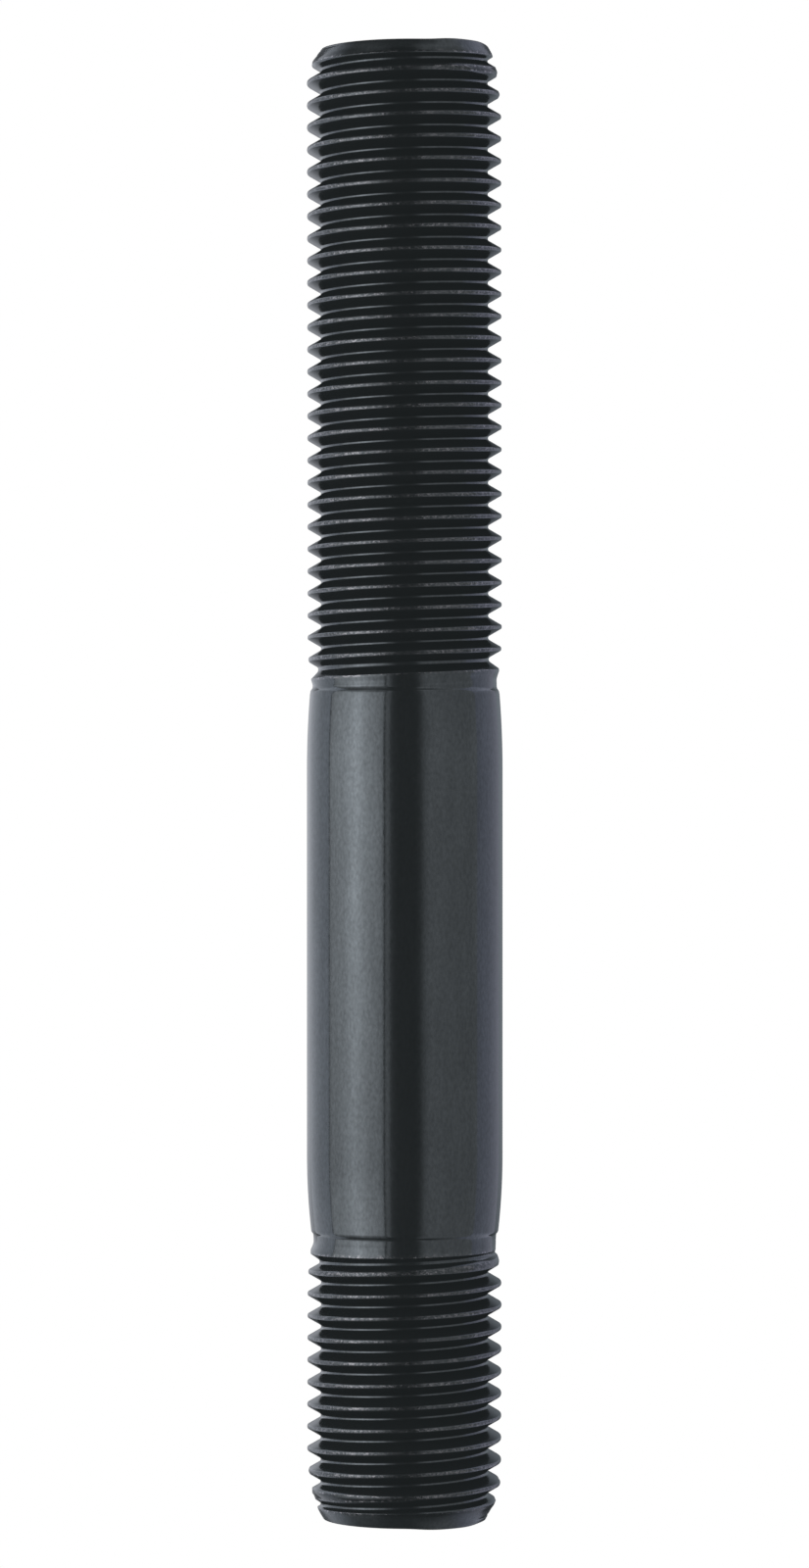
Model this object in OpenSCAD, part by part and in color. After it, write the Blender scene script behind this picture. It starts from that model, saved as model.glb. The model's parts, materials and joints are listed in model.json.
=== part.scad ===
// Double-ended stud: one solid steel bar with a short thread, a plain shank and a long thread.
// It stands on the face of its short end. Both threads are right-hand, with a 60 degree form.

/* [Shank] */
// Length of the shank between its two end steps
shank_l = 61; // [20:1:200]
// Diameter of the plain shank
shank_d = 22.1; // [22:0.05:22.4]
// Diameter of the shank at the step nearest the short thread
tap_step_d = 21.2; // [21:0.05:21.7]
// Diameter of the shank at the step nearest the long thread
nut_step_d = 21.4; // [21:0.05:21.7]
// Length over which each end of the shank tapers
taper_l = 8.5; // [4:0.5:10]

/* [Short thread, into the tapped hole] */
// Length from the end face to the shank step
tap_l = 32.7; // [24:0.1:35]
// Length of the unthreaded neck, with its step up to the shank
tap_neck_l = 1.5; // [1:0.1:3]
// Length of the step up to the shank
tap_step_l = 0.4; // [0.2:0.05:0.8]
// Diameter of the end face
tap_tip_d = 18.2; // [17.6:0.1:19.2]
// Angle round the bar at which the thread groove crosses the end face
tap_start = 260; // [0:1:359]

/* [Long thread, for the nut] */
// Length from the end face to the shank step
nut_l = 72.8; // [30:0.1:75]
// Length of the unthreaded neck, with its step up to the shank
nut_neck_l = 1.1; // [1:0.1:3]
// Length of the step up to the shank
nut_step_l = 0.75; // [0.2:0.05:0.8]
// Diameter of the end face
nut_tip_d = 18.8; // [17.6:0.1:19.2]
// Angle round the bar at which the thread groove crosses the end face
nut_start = 103; // [0:1:359]

/* [Thread form] */
// Distance between one turn and the next
pitch = 2.5; // [2.5:0.25:3]
// Diameter over the crests
crest_d = 21.8; // [21.65:0.05:21.95]
// Diameter at the bottom of the groove
root_d = 18.85; // [18.6:0.05:19]
// Width of the worn land left between two turns
crest_flat = 0.46; // [0.3:0.02:0.5]
// Diameter of the rolled bar, left bare at the necks
neck_d = 20.7; // [20.5:0.05:20.9]

/* [Thread ends] */
// Diameter at which the end chamfer gives way to the shallow lead-in
lead_d = 20.85; // [20.4:0.05:21.2]
// Length of the chamfer and the lead-in together
lead_l = 5.5; // [4:0.5:8]
// Angle of the end chamfer from the axis
chamfer_angle = 30; // [25:1:45]
// Diameter to which the crests fall where the thread runs out
runout_d = 21.4; // [21:0.05:21.6]
// Length over which the crests fall there
fall_l = 2.6; // [1:0.1:4]
// Length of the shoulder from the last crest down to the neck
shoulder_l = 0.7; // [0.4:0.05:1]
// Number of turns over which the groove gets shallower and runs out
runout_turns = 2; // [1:0.25:3]

/* [Hidden] */
overall_l = tap_l + shank_l + nut_l;
flank_angle = 30;           // each flank, from a plane square to the axis
turn_steps = 36;            // sections in one turn of the groove
curve_steps = 6;            // straight steps in a shank taper
overcut = 0.05;             // how far the groove section stands out past the crests
crest_r = crest_d / 2;
root_r = root_d / 2;
groove_r = crest_r / cos(180 / turn_steps) + overcut;
// Half the width of the groove at the crests, and half the width of its flat bottom
mouth_half = (pitch - crest_flat) / 2;
floor_half = mouth_half - (crest_r - root_r) * tan(flank_angle);

// Outline of a threaded end before threading, as [radius, distance from the end face] points.
function end_outline(l, neck_l, step_l, tip_d, step_d) = [
    [tip_d / 2, 0],
    [lead_d / 2, (lead_d - tip_d) / 2 / tan(chamfer_angle)],
    [crest_r, lead_l],
    [crest_r, l - neck_l - shoulder_l - fall_l],
    [runout_d / 2, l - neck_l - shoulder_l],
    [neck_d / 2, l - neck_l],
    [neck_d / 2, l - step_l],
    [step_d / 2, l],
    for (i = [1 : curve_steps])
        [shank_d / 2 - (shank_d - step_d) / 2 * pow(1 - i / curve_steps, 2), l + taper_l * i / curve_steps]
];

// The same outline measured down from the far end of the bar.
function turned_over(points) = [
    for (i = [len(points) - 1 : -1 : 0])
        [points[i][0], overall_l - points[i][1]]
];

module blank() {
    tap_end = end_outline(tap_l, tap_neck_l, tap_step_l, tap_tip_d, tap_step_d);
    nut_end = end_outline(nut_l, nut_neck_l, nut_step_l, nut_tip_d, nut_step_d);
    rotate_extrude($fn = 96)
        polygon(concat([[0, 0]], tap_end, turned_over(nut_end), [[0, overall_l]]));
}

// One section of the groove: its floor lies at radius r, and its flanks reach past the crests.
function groove_section(angle, z, r) =
    let (half = floor_half + (groove_r - r) * tan(flank_angle))
    [for (corner = [[r, -floor_half], [groove_r, -half], [groove_r, half], [r, floor_half]])
        [corner[0] * cos(angle), corner[0] * sin(angle), z + corner[1]]];

// Radius of the groove's floor: constant, then rising to the crests as the thread runs out.
function floor_r(z, end_z) =
    let (rise = max(0, 1 - (end_z - z) / (runout_turns * pitch)))
    root_r + (crest_r - root_r) * pow(min(1, rise), 3);

// The groove of one thread, swept from half a turn outside the end face up to end_z.
module thread_groove(end_z, start_angle) {
    half_turn = pitch / 2;
    steps = round((end_z + half_turn) / pitch * turn_steps);
    points = [
        for (i = [0 : steps])
            let (z = i * pitch / turn_steps - half_turn)
            each groove_section(start_angle + 360 * z / pitch, z, floor_r(z, end_z))
    ];
    sides = [
        for (i = [0 : steps - 1], k = [0 : 3])
            let (a = 4 * i + k, b = 4 * i + (k + 1) % 4)
            each [[a, b, a + 4], [b, b + 4, a + 4]]
    ];
    first_cap = [3, 2, 1, 0];
    last_cap = [for (k = [0 : 3]) 4 * steps + k];
    polyhedron(points, concat([first_cap], sides, [last_cap]));
}

module stud() {
    color([0.13, 0.14, 0.15])
        difference() {
            blank();
            thread_groove(tap_l - tap_neck_l, tap_start);
            translate([0, 0, overall_l])
                rotate([180, 0, 0])
                    thread_groove(nut_l - nut_neck_l, nut_start);
        }
}

stud();
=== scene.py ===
import json
import math

import bpy
import numpy as np
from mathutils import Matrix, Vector


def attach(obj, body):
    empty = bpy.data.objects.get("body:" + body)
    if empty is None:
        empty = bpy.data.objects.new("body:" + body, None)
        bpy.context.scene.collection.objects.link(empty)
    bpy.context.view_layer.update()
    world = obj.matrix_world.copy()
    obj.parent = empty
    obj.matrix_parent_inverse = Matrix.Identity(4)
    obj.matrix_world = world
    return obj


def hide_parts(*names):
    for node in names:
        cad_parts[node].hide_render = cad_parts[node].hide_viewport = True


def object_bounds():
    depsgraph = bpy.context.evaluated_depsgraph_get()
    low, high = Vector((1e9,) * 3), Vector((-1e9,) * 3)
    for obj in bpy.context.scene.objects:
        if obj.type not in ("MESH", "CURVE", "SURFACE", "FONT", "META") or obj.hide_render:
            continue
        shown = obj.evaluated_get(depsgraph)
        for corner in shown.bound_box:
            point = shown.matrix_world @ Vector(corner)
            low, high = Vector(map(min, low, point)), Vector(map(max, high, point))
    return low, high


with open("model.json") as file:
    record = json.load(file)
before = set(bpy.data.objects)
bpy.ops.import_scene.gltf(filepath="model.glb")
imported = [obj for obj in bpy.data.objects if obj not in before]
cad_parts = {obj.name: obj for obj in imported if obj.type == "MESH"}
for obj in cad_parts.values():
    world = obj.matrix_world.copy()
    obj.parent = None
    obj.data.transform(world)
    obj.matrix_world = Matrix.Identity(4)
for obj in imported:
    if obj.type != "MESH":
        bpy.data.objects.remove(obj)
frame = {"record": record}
cad_low, cad_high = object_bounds()

# ------------------------------------------------------------ sizes, in millimetres, z up from the foot
MM = 0.001
mounts = {m["name"]: m for m in frame["record"]["mounts"]}
overall_l = (cad_high.z - cad_low.z) / MM
shank_r = mounts["shank"]["dims"]["r_mm"]
crest_r = mounts["nut_end"]["dims"]["r_mm"]
taper_l = 8.5

# thread form
pitch = 2.5
root_r = 9.43
crest_top = crest_r + 0.065     # radius of the bar before threading, between lead-in and run-out
flank_angle = math.radians(30)
flank = math.tan(flank_angle)
root_round = 0.29               # radius of the groove's floor
crest_round = 0.15              # radius of a crest that the blank leaves whole
crown_round = 0.42              # radius of the slight crown on the lands
crown_reach = 0.3               # how far from a crest's middle the crown goes on falling
crown_start = 0.5               # distance past the chamfer over which the crown comes in
edge_round = 0.06               # how softly a crest cut off by the blank turns into its flanks
outline_round = 0.12            # how softly an outline turns its corners
sharp_depth = pitch / 2 / flank                 # depth of the thread if it had no rounding
mouth_half = (crest_top - root_r + root_round) * flank

# run-out
runout_turns = 2
runout_power = 4.2              # how late the groove's floor climbs to the crests
runout_shift = 0.45             # how far the groove strays towards the end face as it runs out

# Each threaded end is described from its own end face, in [distance, radius] outlines of the bar
# before threading. Left, right and front are as the camera sees them.
#   thread_l       length of the thread
#   start          angle at which the groove crosses the end face
#   left, right    the lead-in at the two sides
#   bulge          how much further than between them it stands out at the front, just left of the
#                  middle and just right of it
#   tail           the shoulder where the thread runs out, at the two sides, in distances from thread_l
#   front_tail     the same at the front and the back
#   swing          how much nearer the end face the tail is at the right, and further from it at the left
#   front_swing    the same for front_tail
#   spread         share of its steepness that the flank towards the shank loses as the groove runs out
#   climb_past     how far past thread_l the groove reaches
#   neck           from the tail up to the shank
#   bend           how far the end leans to the left at its face
#   drop           how much lower the face is than the burr on its rim
#   tilt           how much more its left edge drops
#   burr_at        direction of the burr, in degrees from the front towards the right
TAP = {
    "thread_l": mounts["tap_end"]["dims"]["length_mm"],
    "start": 260,
    "left": [(0, 9.08), (1.5, 9.78), (2.6, 10.14), (3.6, 10.48), (5.5, 10.77), (8.3, crest_top)],
    "right": [(0, 9.2), (1.3, 9.78), (2.3, 10.34), (4.1, 10.74), (7.0, crest_top)],
    "bulge": (0.12, 0.48),
    "tail": [(-4.2, crest_top), (-3.25, 10.87), (-1.4, 10.68), (-1.0, 10.64), (-0.65, 10.5),
             (-0.35, 10.36), (-0.1, 10.295)],
    "front_tail": [(-4.2, crest_top), (-2.5, 10.85), (-1.6, 10.7), (-1.0, 10.5), (-0.7, 10.42),
                   (-0.3, 10.36), (0.3, 10.31), (0.45, 10.295)],
    "swing": 0.4,
    "front_swing": 0,
    "spread": 0.45,
    "climb_past": 0.2,
    "neck": [(31.8, 10.295), (32.35, 10.33), (32.5, 10.37), (32.65, 10.5), (32.8, 10.57)],
    "bend": 0.09,
    "drop": 0.19,
    "tilt": 0.08,
    "burr_at": 36,
}
NUT = {
    "thread_l": mounts["nut_end"]["dims"]["length_mm"],
    "start": 103,
    "left": [(0, 9.24), (1.1, 9.81), (2.0, 10.43), (2.8, 10.64), (4.2, crest_top)],
    "right": [(0, 9.5), (1.1, 10.0), (2.7, 10.4), (5.8, 10.74), (8.0, crest_top)],
    "bulge": (0.1, 0.4),
    "tail": [(-4.2, crest_top), (-2.7, 10.87), (-0.75, 10.65), (-0.4, 10.56), (-0.1, 10.44),
             (0.15, 10.39)],
    "front_tail": [(-4.2, crest_top), (-3.0, 10.89), (-1.2, 10.7), (-0.8, 10.65), (0.2, 10.41),
                   (0.35, 10.39)],
    "swing": 0.33,
    "front_swing": 0.33,
    "spread": 0.9,
    "climb_past": 0.3,
    "neck": [(72.3, 10.4), (72.5, 10.45), (72.62, 10.53), (72.72, 10.6), (72.82, 10.65),
             (73.05, 10.69), (73.15, 10.71)],
    "bend": 0.09,
    "drop": 0.225,
    "tilt": 0.2,
    "burr_at": 49,
}
bulge_share = [(1.4, 0), (2.3, 1), (5, 1), (8, 0)]     # share of a lead-in's bulge by distance

# end faces
rim = 0.12                      # reach of the rounded edge of an end face along the bar
burr_half = 26                  # half the width of the raised part of an end's rim, in degrees
tilt_l = 1.6                    # distance from the end face over which its unevenness dies out
# rings of an end face: how far in from the rim, how deep, and how far the unevenness has died out
end_face_rings = [(0.0, rim, 0), (0.03, 0.05, 0), (0.1, 0.01, 0), (0.2, 0, 0), (0.7, 0, 0.3),
                  (1.3, 0, 0.7), (2.0, 0, 0.95), (2.8, 0, 1), (6.0, 0, 1)]

# mesh: columns of points round the bar, and rows of them across each turn of the groove
columns = 96
turn = np.arange(columns) * 2 * math.pi / columns
# distances of the rows from a groove's middle
half_rows = np.array([0.08, 0.16, 0.235, 0.3, 0.62, 0.98, 1.025, mouth_half, 1.085, 1.16])
rows = np.concatenate([[-pitch / 2], -half_rows[::-1], [0], half_rows])
narrowest_mouth = 0.15          # half the width of the narrowest mouth that the rows keep to
crest_gap = 0.08                # room left for the rows between a mouth and the middle of its crest
snap = 0.02                     # rows this close to the end of a strip lie on it
taper_shares = np.linspace(0.03, 1, 16)         # places of the rings along a shank's taper

# what the material is told about each vertex
look_names = ("rubbed", "nicked", "matte", "dull")
plain = (0, 0, 0, 0)
sawn = (0, 0, 1, 0)
flank_matte = 0.4               # how matte the thread is; the shank is 0 and a chamfer 1
lead_whole_r = crest_top - 0.03                 # crests are cut down where the lead-in is under this
tail_whole_r = 10.74                            # and where the run-out is under this
cut_blend = 0.1                 # fall in radius over which a crest comes to count as cut down
land_blend = 0.08               # height over which a flank's look turns into a land's
land_edge = 0.35                # height over which a cut-down crest's worn edge fades over its land
flank_edge = 0.09               # and down its flanks
least_depth = 0.2               # depth of thread under which an edge isn't worn
chamfer_blend = 0.3             # distance over which a chamfer's look fades
chamfer_nicks = 4               # how many more nicks there are along a chamfer than elsewhere
whole_nicks = 0.4               # nicks on whole crests
whole_dull = 0.6                # and how dull they are


# ------------------------------------------------------------ radius of the bar
def smooth_min(a, b, k):
    h = np.maximum(k - np.abs(a - b), 0) / k
    return np.minimum(a, b) - h * h * k / 4


def arc_in_vee(across, radius):
    """Height of a vee's surface above its sharp corner, with an arc of this radius in the corner.

    The arc's centre is two radii above the corner, because the vee is 60 degrees wide.
    """
    reach = np.minimum(across, radius * math.cos(flank_angle))
    arc = 2 * radius - np.sqrt(radius**2 - reach**2)
    return np.where(across > reach, across / flank, arc)


def direction(end, angle):
    """An end's own angle as a direction round the bar: 0 towards the camera, pi / 2 to its right."""
    return math.pi / 2 + (angle if end is TAP else -angle)


def outline(points, s):
    """Radius along an outline, its corners rounded."""
    along, radius = zip(*points)
    spread = np.linspace(-outline_round, outline_round, 5)
    return np.mean([np.interp(s + d, along, radius) for d in spread], axis=0)


def blank_radius(end, angle, s):
    """Radius of the bar before threading, at distance s from the end face."""
    way = direction(end, angle)
    side = np.sin(way)
    to_left, to_right = (1 - side) / 2, (1 + side) / 2
    lead = outline(end["left"], s) * to_left + outline(end["right"], s) * to_right
    left_bulge, right_bulge = end["bulge"]
    bulge = (left_bulge * to_left + right_bulge * to_right) * np.maximum(np.cos(way), 0) ** 0.5
    lead = np.minimum(lead + outline(bulge_share, s) * bulge, crest_top)
    past = s - end["thread_l"]
    side_tail = outline(end["tail"], past + end["swing"] * side)
    front_tail = outline(end["front_tail"], past + end["front_swing"] * side)
    tail = side_tail * side**2 + front_tail * (1 - side**2)
    return np.minimum(lead, tail)


def run_out(end, centre):
    """How far a groove has run out at this centre: 0 where it is whole, 1 where it has gone."""
    left = end["thread_l"] + end["climb_past"] - centre
    return np.clip(1 - left / (runout_turns * pitch), 0, 1)


def groove_shape(end, centre):
    """The groove's floor radius, its stray towards the end face and the width of its flatter flank.

    The floor climbs to the crests where the thread runs out.
    """
    gone = run_out(end, centre)
    floor_r = root_r + (crest_r - root_r) * gone**runout_power
    return floor_r, runout_shift * gone**2, 1 / (1 - end["spread"] * gone**2)


def first_centre(end, angle):
    """Distance at which the first groove crosses the section at this angle.

    At angle 0 it ends before the rim, so that its rows and the next ones cover the whole thread.
    """
    turns_in = math.floor(rim / pitch - 0.5 + end["start"] / 360)
    return (angle / (2 * math.pi) - end["start"] / 360 + turns_in) * pitch


def groove_form(end, angle, s):
    """Radius that the groove alone would leave, with its crests rounded."""
    across = (s - first_centre(end, angle) + pitch / 2) % pitch - pitch / 2
    floor_r, stray, spread = groove_shape(end, s - across)
    corner = floor_r - root_round
    across = across + stray
    inward = np.minimum(np.where(across > 0, across / spread, -across), pitch / 2)
    groove = corner + arc_in_vee(inward, root_round)
    crest = corner + sharp_depth - arc_in_vee(pitch / 2 - inward, crest_round)
    return np.where(inward < pitch / 4, groove, crest)


def thread_radius(end, angle, s):
    """Radius of the threaded surface. The lands are crowned, but not the chamfer and the neck."""
    from_crest = np.abs((s - first_centre(end, angle)) % pitch - pitch / 2)
    crown = np.minimum(from_crest, crown_reach) ** 2 / (2 * crown_round)
    chamfer_l = end["left"][1][0]
    crown *= np.clip((s - chamfer_l) / crown_start, 0, 1) * (1 - run_out(end, s) ** 2)
    return smooth_min(groove_form(end, angle, s), blank_radius(end, angle, s) - crown, edge_round)


def thread_looks(end, angle, s):
    """How rubbed, nicked, matte and dull the surface is.

    Whole crests are rubbed. So are the edges of cut-down ones, where most nicks are too. Flanks are
    matte, chamfers more so. Whole crests are dull, and the lands of those that the lead-in cuts
    down more so.
    """
    blank = blank_radius(end, angle, s)
    over = groove_form(end, angle, s) - blank
    leading = s < end["thread_l"] / 2
    cut_down = np.clip((np.where(leading, lead_whole_r, tail_whole_r) - blank) / cut_blend, 0, 1)
    edge = np.clip(1 - np.abs(over) / np.where(over > 0, land_edge, flank_edge), 0, 1)
    edge *= np.clip((blank - root_r - least_depth) / least_depth, 0, 1)
    land = np.clip(over / land_blend, 0, 1)
    chamfer_l = end["left"][1][0]
    chamfer = land * np.clip((chamfer_l + chamfer_blend - s) / chamfer_blend, 0, 1)
    whole = land * (1 - cut_down)
    neck = land * cut_down * ~leading
    rubbed = edge * cut_down + whole
    nicked = edge * cut_down * (1 + chamfer_nicks * chamfer) + whole_nicks * whole
    matte = flank_matte * (1 - neck) + (1 - flank_matte) * chamfer
    dull = land * cut_down * (1 - chamfer) * leading + whole_dull * whole
    return rubbed, nicked, matte, dull


# ------------------------------------------------------------ mesh
class Bar:
    """Collects vertices with their looks, and faces."""

    def __init__(self):
        self.points = []
        self.faces = []
        self.looks = []

    def add(self, radius, angle, z, looks):
        first = len(self.points)
        self.points += list(zip(radius * np.cos(angle), radius * np.sin(angle), z))
        self.looks += list(np.broadcast_to(looks, (len(radius), len(look_names))))
        return np.arange(first, first + len(radius))

    def ring(self, radius, z, looks=plain):
        radius, z = (np.broadcast_to(value, turn.shape) for value in (radius, z))
        return self.add(radius, turn, z, looks)

    def join(self, low, high):
        for corners in zip(low, np.roll(low, -1), np.roll(high, -1), high):
            self.face(corners)

    def face(self, corners):
        kept = [c for n, c in enumerate(corners) if c != corners[n - 1]]
        if len(kept) > 2:
            self.faces.append(kept)


def uneven(end, angle, s):
    """Moves points near an end face along the bar: it is tilted, with a burr on one side of its rim."""
    way = direction(end, angle)
    slope = ((1 - np.sin(way)) / 2) ** 3
    off = (np.degrees(way) - end["burr_at"] + 180) % 360 - 180
    burr = np.exp(-((off / burr_half) ** 4))
    drop = end["drop"] * (1 - burr) + end["tilt"] * slope
    return s + drop * np.clip(1 - s / tilt_l, 0, 1) ** 2


def place(end, angle, s):
    """Angle and z in the frame for a point of an end."""
    s = uneven(end, angle, s)
    return (angle, s) if end is TAP else (-angle, overall_l - s)


def row_places(end, angle, centre):
    """Places of a groove's rows along the bar; one row on each side keeps to the crest's edge."""
    floor_r, stray, spread = groove_shape(end, centre)
    corner = floor_r - root_round
    places = np.repeat(centre[:, None], len(rows), axis=1)
    places[:, rows == 0] -= stray[:, None]
    for sign, width in ((-1, 1), (1, spread)):
        mouth = np.full(len(centre), mouth_half)
        for _ in range(6):      # each pass brings the mouth nearer to where the flank meets the blank
            edge = blank_radius(end, angle, centre - stray + sign * width * mouth)
            mouth = np.clip((edge - corner) * flank, narrowest_mouth, mouth_half)
        reach = np.minimum(width * mouth - sign * stray, pitch / 2 - crest_gap)[:, None]
        side = sign * rows
        share = side / mouth_half
        inner = -sign * stray[:, None] * (1 - share) + reach * share
        outer = reach + (side - mouth_half) / (pitch / 2 - mouth_half) * (pitch / 2 - reach)
        picked = side > 0
        places[:, picked] += sign * np.where(side <= mouth_half, inner, outer)[:, picked]
    return places


def strip_numbers(bar, end, angle, s, low_ring, high_ring):
    """Adds a strip's vertices and gives their numbers. Rows that pass a ring end on it."""
    cut = end["neck"][0][0]
    radius = thread_radius(end, angle, s)
    looks = np.stack(thread_looks(end, angle, s), axis=-1)
    around, z = place(end, angle, s)
    around = np.broadcast_to(around, s.shape)
    number = np.zeros(s.shape, int)
    for i in range(columns):
        own = (s[i] > rim + snap) & (s[i] < cut - snap)
        number[i, s[i] <= rim + snap] = low_ring[i]
        number[i, s[i] >= cut - snap] = high_ring[i]
        number[i, own] = bar.add(radius[i, own], around[i, own], z[i, own], looks[i, own])
    return number


def thread_strip(bar, end, low_ring, high_ring):
    """The helical surface from the end face's ring to the neck's. At its seam each turn meets the next."""
    angle = turn if end is TAP else turn[(-np.arange(columns)) % columns]
    turns = math.ceil((end["neck"][0][0] - first_centre(end, 0)) / pitch + 1)
    centre = first_centre(end, angle)
    s = np.concatenate([row_places(end, angle, centre + n * pitch) for n in range(turns)], axis=1)
    number = strip_numbers(bar, end, angle[:, None], s, low_ring, high_ring)
    step, seam = (1, columns - 1) if end is TAP else (-1, 1)
    for i in range(columns):
        near = number[i]
        far = number[(i + step) % columns]
        if i == seam:
            past_end = np.full(len(rows), high_ring[(i + step) % columns])
            far = np.concatenate([far[len(rows):], past_end])
        for corners in zip(near[:-1], far[:-1], far[1:], near[1:]):
            bar.face(corners)


def end_face(bar, end):
    """The end face with its rounded edge. Gives the ring that the thread starts from."""
    angle = turn if end is TAP else -turn
    edge = thread_radius(end, angle, np.full(columns, rim))
    middle = end["drop"]
    rings = []
    for inset, depth, levelled in end_face_rings:
        s = uneven(end, angle, np.full(columns, depth)) * (1 - levelled) + middle * levelled
        rings.append(bar.ring(edge - inset, s if end is TAP else overall_l - s, sawn))
    for outer, inner in zip(rings, rings[1:]):
        bar.join(*((inner, outer) if end is TAP else (outer, inner)))
    top = middle if end is TAP else overall_l - middle
    centre = bar.add(np.zeros(1), np.zeros(1), [top], sawn)[0]
    for a, b in zip(rings[-1], np.roll(rings[-1], -1)):
        bar.face((centre, b, a) if end is TAP else (centre, a, b))
    return rings[0]


def shank_rings(bar):
    """Rings of the plain part, from the tap end's neck to the nut end's."""
    def stations(end):
        yield from end["neck"]
        taper_start, step_r = end["neck"][-1]
        for share in taper_shares:
            yield taper_start + taper_l * share, shank_r - (shank_r - step_r) * (1 - share) ** 2

    tap = [(s, r) for s, r in stations(TAP)]
    nut = [(overall_l - s, r) for s, r in stations(NUT)]
    return [bar.ring(r, z) for z, r in tap + nut[::-1]]


def bent(points):
    """Each threaded end leans a little to the camera's left, most at its end face."""
    tap_share = np.clip(1 - points[:, 2] / TAP["neck"][-1][0], 0, 1)
    nut_share = np.clip(1 - (overall_l - points[:, 2]) / NUT["neck"][-1][0], 0, 1)
    points[:, 0] -= TAP["bend"] * tap_share + NUT["bend"] * nut_share
    return points


def stud_mesh():
    bar = Bar()
    rings = shank_rings(bar)
    for low_ring, high_ring in zip(rings, rings[1:]):
        bar.join(low_ring, high_ring)
    for end, neck_ring in ((TAP, rings[0]), (NUT, rings[-1])):
        thread_strip(bar, end, end_face(bar, end), neck_ring)
    mesh = bpy.data.meshes.new("stud_body")
    mesh.from_pydata(bent(np.array(bar.points)) * MM, [], bar.faces)
    for name, values in zip(look_names, np.array(bar.looks, float).T):
        mesh.attributes.new(name, "FLOAT", "POINT").data.foreach_set("value", values.copy())
    mesh.shade_smooth()
    return mesh


def stud():
    body = bpy.data.objects.new("stud_body", stud_mesh())
    bpy.context.scene.collection.objects.link(body)
    body.data.materials.append(black_oxide())
    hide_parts("stud")
    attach(body, "root")


# ------------------------------------------------------------ material
class Nodes:
    """Short ways to add shader nodes and link them."""

    def __init__(self, tree):
        self.tree = tree

    def add(self, kind, settings=(), **inputs):
        node = self.tree.nodes.new(kind)
        for name, value in settings:
            setattr(node, name, value)
        for name, value in inputs.items():
            self.give(node.inputs[name.replace("_", " ")], value)
        return node

    def give(self, socket, value):
        if isinstance(value, bpy.types.NodeSocket):
            self.tree.links.new(value, socket)
        else:
            socket.default_value = value

    def math(self, operation, *values):
        node = self.add("ShaderNodeMath", [("operation", operation)])
        for socket, value in zip(node.inputs, values):
            self.give(socket, value)
        return node.outputs[0]

    def mix(self, low, high, share):
        """Colour from low to high; a share above 1 goes on past high."""
        node = self.add("ShaderNodeMix", [("data_type", "RGBA"), ("clamp_factor", False)])
        sockets = {socket.identifier: socket for socket in node.inputs}
        for name, value in (("Factor_Float", share), ("A_Color", low), ("B_Color", high)):
            self.give(sockets[name], value)
        return next(socket for socket in node.outputs if socket.identifier == "Result_Color")

    def attribute(self, name):
        return self.add("ShaderNodeAttribute", [("attribute_name", name)]).outputs["Fac"]

    def ramp(self, value, low, high, to_low, to_high):
        spans = {"From_Min": low, "From_Max": high, "To_Min": to_low, "To_Max": to_high}
        return self.add("ShaderNodeMapRange", Value=value, **spans).outputs["Result"]

    def noise(self, stretch, size, detail=3.0):
        """Noise with features of this size in millimetres, stretched along x, y and z."""
        where = self.add("ShaderNodeTexCoord").outputs["Object"]
        scaled = self.add("ShaderNodeMapping", Vector=where, Scale=[1 / (size * MM * v) for v in stretch])
        texture = self.add("ShaderNodeTexNoise", Vector=scaled.outputs[0], Scale=1.0, Detail=detail)
        return texture.outputs["Fac"]


def bare_share(make):
    """How far the oxide is worn through, in specks. Nicks shine more than rubbed places."""
    rubbed = make.ramp(make.noise((1, 1, 1), 0.2, 1.0), 0.48, 0.56, 0.0, 0.55)
    nicked = make.ramp(make.noise((1, 1, 0.7), 0.45, 0.0), 0.56, 0.66, 0.0, 1.6)
    patches = make.ramp(make.noise((1, 1, 1), 4.0), 0.3, 0.7, 0.5, 1.1)
    rubbed = make.math("MULTIPLY", rubbed, make.attribute("rubbed"))
    nicked = make.math("MULTIPLY", nicked, make.attribute("nicked"))
    bare = make.math("MULTIPLY", make.math("ADD", rubbed, nicked), patches)
    return make.math("MINIMUM", bare, 2.0)


def oxide_shade(make, grain):
    """Brightness of the oxide: grain, streaks along the bar, clouds, and dull places."""
    streaks = make.ramp(make.noise((1, 1, 8), 1.3), 0.2, 0.8, 0.9, 1.1)
    clouds = make.ramp(make.noise((1, 1, 1.5), 6.0), 0.2, 0.8, 0.92, 1.08)
    dulled = make.ramp(make.attribute("dull"), 0.0, 1.0, 1.0, 0.5)
    shade = make.math("MULTIPLY", make.math("MULTIPLY", grain, streaks), clouds)
    return make.math("MULTIPLY", shade, dulled)


def black_oxide():
    black = (0, 0, 0, 1)
    oxide_colour = (0.092, 0.103, 0.113, 1)
    bare_colour = (0.25, 0.25, 0.27, 1)
    material = bpy.data.materials.new("black_oxide_steel")
    material.use_nodes = True
    make = Nodes(material.node_tree)
    bare = bare_share(make)
    grain = make.ramp(make.noise((1, 1, 1.8), 0.3, 3.0), 0.2, 0.8, 0.72, 1.28)
    oxide = make.mix(black, oxide_colour, oxide_shade(make, grain))
    smooth_rough = make.ramp(make.attribute("matte"), 0.0, 1.0, 0.085, 0.28)
    relief = make.math("ADD", grain, make.math("MULTIPLY", bare, 3.0))
    bump = make.add("ShaderNodeBump", Strength=0.3, Distance=0.00001, Height=relief)
    shader = material.node_tree.nodes["Principled BSDF"].inputs
    make.give(shader["Base Color"], make.mix(oxide, bare_colour, bare))
    make.give(shader["Metallic"], 0.9)
    make.give(shader["Roughness"], make.math("ADD", smooth_rough, make.math("MULTIPLY", bare, 0.12)))
    make.give(shader["Normal"], bump.outputs["Normal"])
    return material


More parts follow.
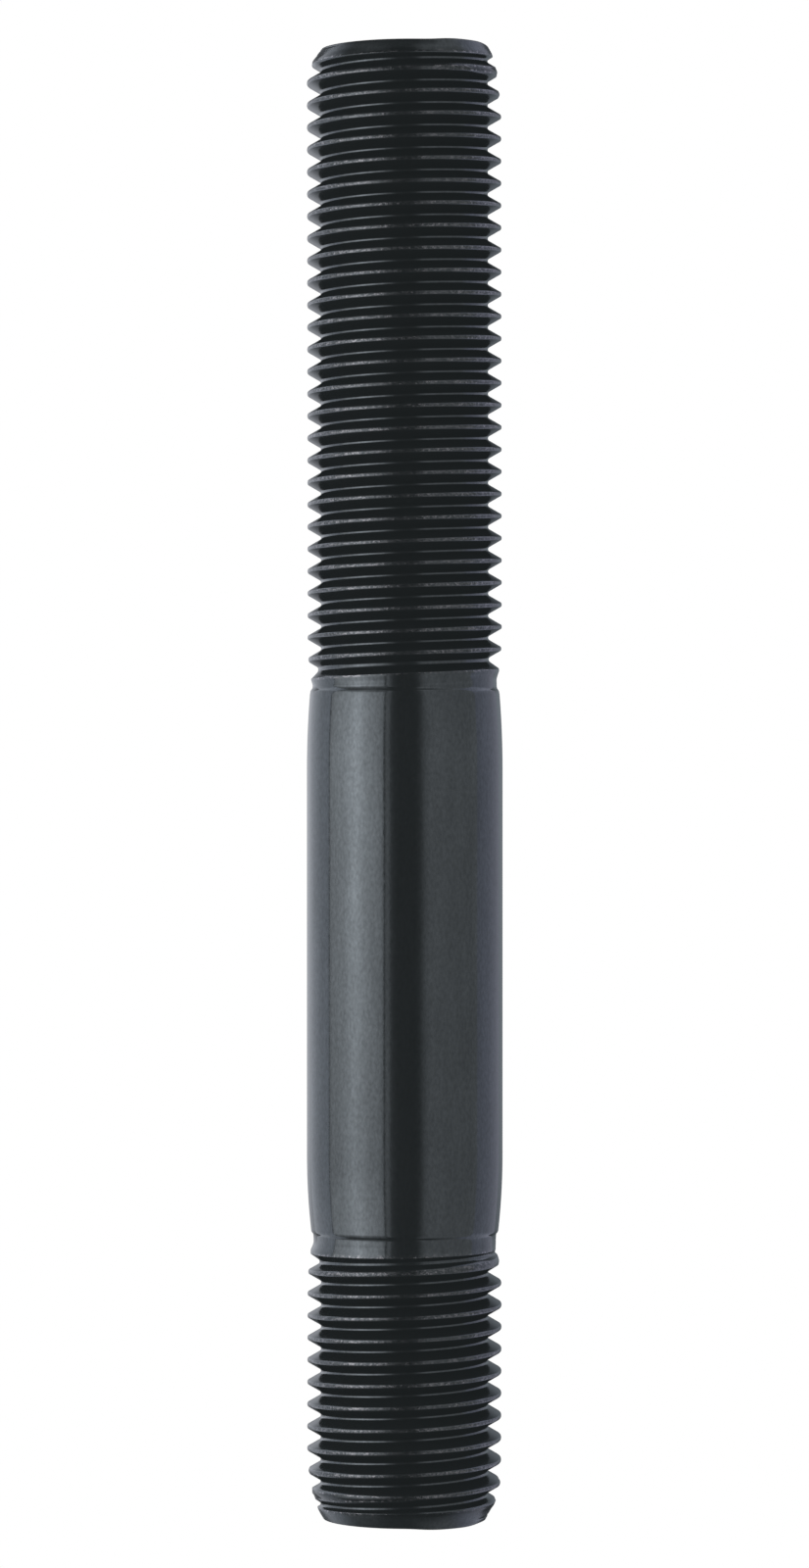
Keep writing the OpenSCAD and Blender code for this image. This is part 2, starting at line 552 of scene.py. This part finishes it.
# ------------------------------------------------------------ studio, in metres
card_r = 0.6                    # distance of the light cards from the bar's axis
card_step = 0.5                 # degrees between one column of a card and the next
floor_half = 6.0
ambient = 0.03                  # brightness of the surroundings in reflections
camera_x = -0.00003
camera_y = -0.6984
camera_z = 0.08835
aim_z = 0.08322
camera_lens = 142.04

# Cards fade by elevation, in degrees as seen from the middle of the bar.
softbox_fade = [(-62, 0.05), (-48, 0.14), (-38, 0.3), (-30, 0.4), (-20, 1), (-14, 0.95), (-8.3, 0.8),
                (-4.1, 0.97), (0.5, 1.14), (6, 1.05), (12, 1), (20, 1), (30, 0.4), (40, 0.28), (48, 0.2),
                (62, 0.1)]
left_side_fade = [(-62, 0.1), (-54, 0.2), (-51, 0.35), (-47, 0.55), (-43, 0.75), (-37, 0.9), (-31, 1.1),
                  (-20, 1), (20, 1), (31, 1.35), (37, 1.2), (43, 0.85), (48, 0.3), (56, 0.08)]
right_fade = [(-62, 0.3), (-50, 0.8), (-34, 1), (-8, 0.95), (-2, 0.98), (0.5, 1.15), (6, 1), (34, 1),
              (48, 1.2), (54, 1.05), (58, 0.8), (62, 0.3)]
right_side_fade = [(-60, 0.3), (-48, 0.9), (-38, 1.1), (-28, 1.4), (-16, 1), (16, 1), (28, 1.5),
                   (37, 1.3), (43, 1), (52, 1), (62, 0.3)]
rear_fade = [(-34, 0), (-24, 0.15), (-14, 0.5), (-7, 0.85), (0, 1), (7, 0.9), (14, 0.6), (20, 0.3),
             (27, 0.1), (34, 0)]
white = (1, 1, 1)
cool = (0.97, 1, 1.08)
blue = (0.99, 1, 1.2)
rear_blue = (0.9, 1, 1.12)


def emission_material(name, colour=white, strength_attribute=None):
    material = bpy.data.materials.new(name)
    material.use_nodes = True
    material.node_tree.nodes.clear()
    make = Nodes(material.node_tree)
    emission = make.add("ShaderNodeEmission", Color=(*colour, 1))
    if strength_attribute:
        make.give(emission.inputs["Strength"], make.attribute(strength_attribute))
    make.add("ShaderNodeOutputMaterial", Surface=emission.outputs[0])
    return material


def staged(name, mesh):
    """Puts a mesh into the scene as part of the studio, not of the object."""
    obj = bpy.data.objects.new(name, mesh)
    bpy.context.scene.collection.objects.link(obj)
    obj.visible_shadow = False
    return obj


def card(name, stops, fade, colour=white):
    """A curved upright card round the bar.

    stops are (direction in degrees from the camera, brightness), fade is (elevation, share of that
    brightness).
    """
    just_past = 0.01
    directions = np.arange(stops[0][0], stops[-1][0] + just_past, card_step)
    brightness = np.interp(directions, *zip(*stops))
    around = np.radians(directions)[:, None]
    elevation, share = np.array(fade).T
    points = np.empty((len(directions), len(fade), 3))
    points[:, :, 0] = card_r * np.sin(around)
    points[:, :, 1] = -card_r * np.cos(around)
    points[:, :, 2] = cad_high.z / 2 + card_r * np.tan(np.radians(elevation))
    number = np.arange(points[:, :, 0].size).reshape(len(directions), len(fade))
    corners = (number[:-1, :-1], number[1:, :-1], number[1:, 1:], number[:-1, 1:])
    mesh = bpy.data.meshes.new(name)
    mesh.from_pydata(points.reshape(-1, 3), [], np.stack([c.ravel() for c in corners], axis=1).tolist())
    glow = mesh.attributes.new("glow", "FLOAT", "POINT")
    glow.data.foreach_set("value", (brightness[:, None] * share).ravel())
    mesh.materials.append(emission_material(name, colour, "glow"))
    staged(name, mesh).visible_camera = False


def cards():
    card("left_softbox", [
        (-99, 0.85), (-94, 1.1), (-85, 1.26), (-76, 1.46), (-67, 1.8), (-60, 2.1), (-55, 1.93), (-48, 1.56),
        (-40, 1.27), (-33, 1.1), (-29, 0.95), (-26, 0.8), (-24.2, 0.5)], softbox_fade)
    card("left_strip", [
        (-23.2, 0.34), (-21, 0.46), (-18.6, 0.4), (-16.4, 0.15), (-13, 0.07), (-8, 0.03)],
        [(-34, 1), (36, 1)])
    card("left_side_wall", [
        (-146, 0.95), (-140, 0.95), (-129, 0.93), (-115, 0.84), (-108, 0.85), (-105.5, 0.84), (-101, 0.8),
        (-99.8, 0.7)], left_side_fade, cool)
    card("left_rear_wall", [
        (-180, 0.2), (-170, 0.5), (-160, 0.85), (-149, 0.95), (-146, 0.95)], rear_fade, cool)
    card("right_wall", [
        (12, 0.03), (16, 0.06), (18.4, 0.11), (22, 0.25), (25, 0.35), (29, 0.42), (43, 0.42), (51, 0.39),
        (84, 0.37), (94, 0.42)], right_fade)
    card("right_side_wall", [
        (94, 0.42), (110, 0.5), (130, 0.53), (139, 0.51), (146, 0.46)], right_side_fade, blue)
    card("right_rear_wall", [
        (146, 0.5), (150, 0.45), (164, 0.28), (172, 0.17), (180, 0.15)], rear_fade, rear_blue)


def floor():
    mesh = bpy.data.meshes.new("floor")
    corners = [(x * floor_half, y * floor_half, 0) for x, y in ((-1, -1), (1, -1), (1, 1), (-1, 1))]
    mesh.from_pydata(corners, [], [(0, 1, 2, 3)])
    mesh.materials.append(emission_material("floor_white"))
    obj = staged("floor", mesh)
    obj.visible_glossy = False
    obj.visible_diffuse = False


def surroundings():
    """White behind the object, and nearly black in its reflections."""
    world = bpy.data.worlds.new("studio")
    bpy.context.scene.world = world
    world.use_nodes = True
    make = Nodes(world.node_tree)
    seen = make.add("ShaderNodeLightPath").outputs["Is Camera Ray"]
    background = world.node_tree.nodes["Background"].inputs
    make.give(background["Strength"], make.ramp(seen, 0.0, 1.0, ambient, 1.0))
    make.give(background["Color"], (*white, 1))


def camera():
    data = bpy.data.cameras.new("camera")
    data.sensor_width = 36
    data.lens = camera_lens
    obj = bpy.data.objects.new("camera", data)
    bpy.context.scene.collection.objects.link(obj)
    obj.location = (camera_x, camera_y, camera_z)
    aim = Vector((camera_x, 0, aim_z)) - obj.location
    obj.rotation_euler = aim.to_track_quat("-Z", "Y").to_euler()
    bpy.context.scene.camera = obj


def tones():
    """Lifts black a little, as in a washed-out picture, and leaves out reflections of reflections."""
    scene = bpy.context.scene
    scene.view_settings.view_transform = "Standard"
    scene.view_settings.use_curve_mapping = True
    scene.view_settings.curve_mapping.black_level = (-0.009, -0.011, -0.0115)
    scene.view_settings.curve_mapping.update()
    scene.cycles.glossy_bounces = 0


surroundings()
camera()
stud()
floor()
cards()
tones()
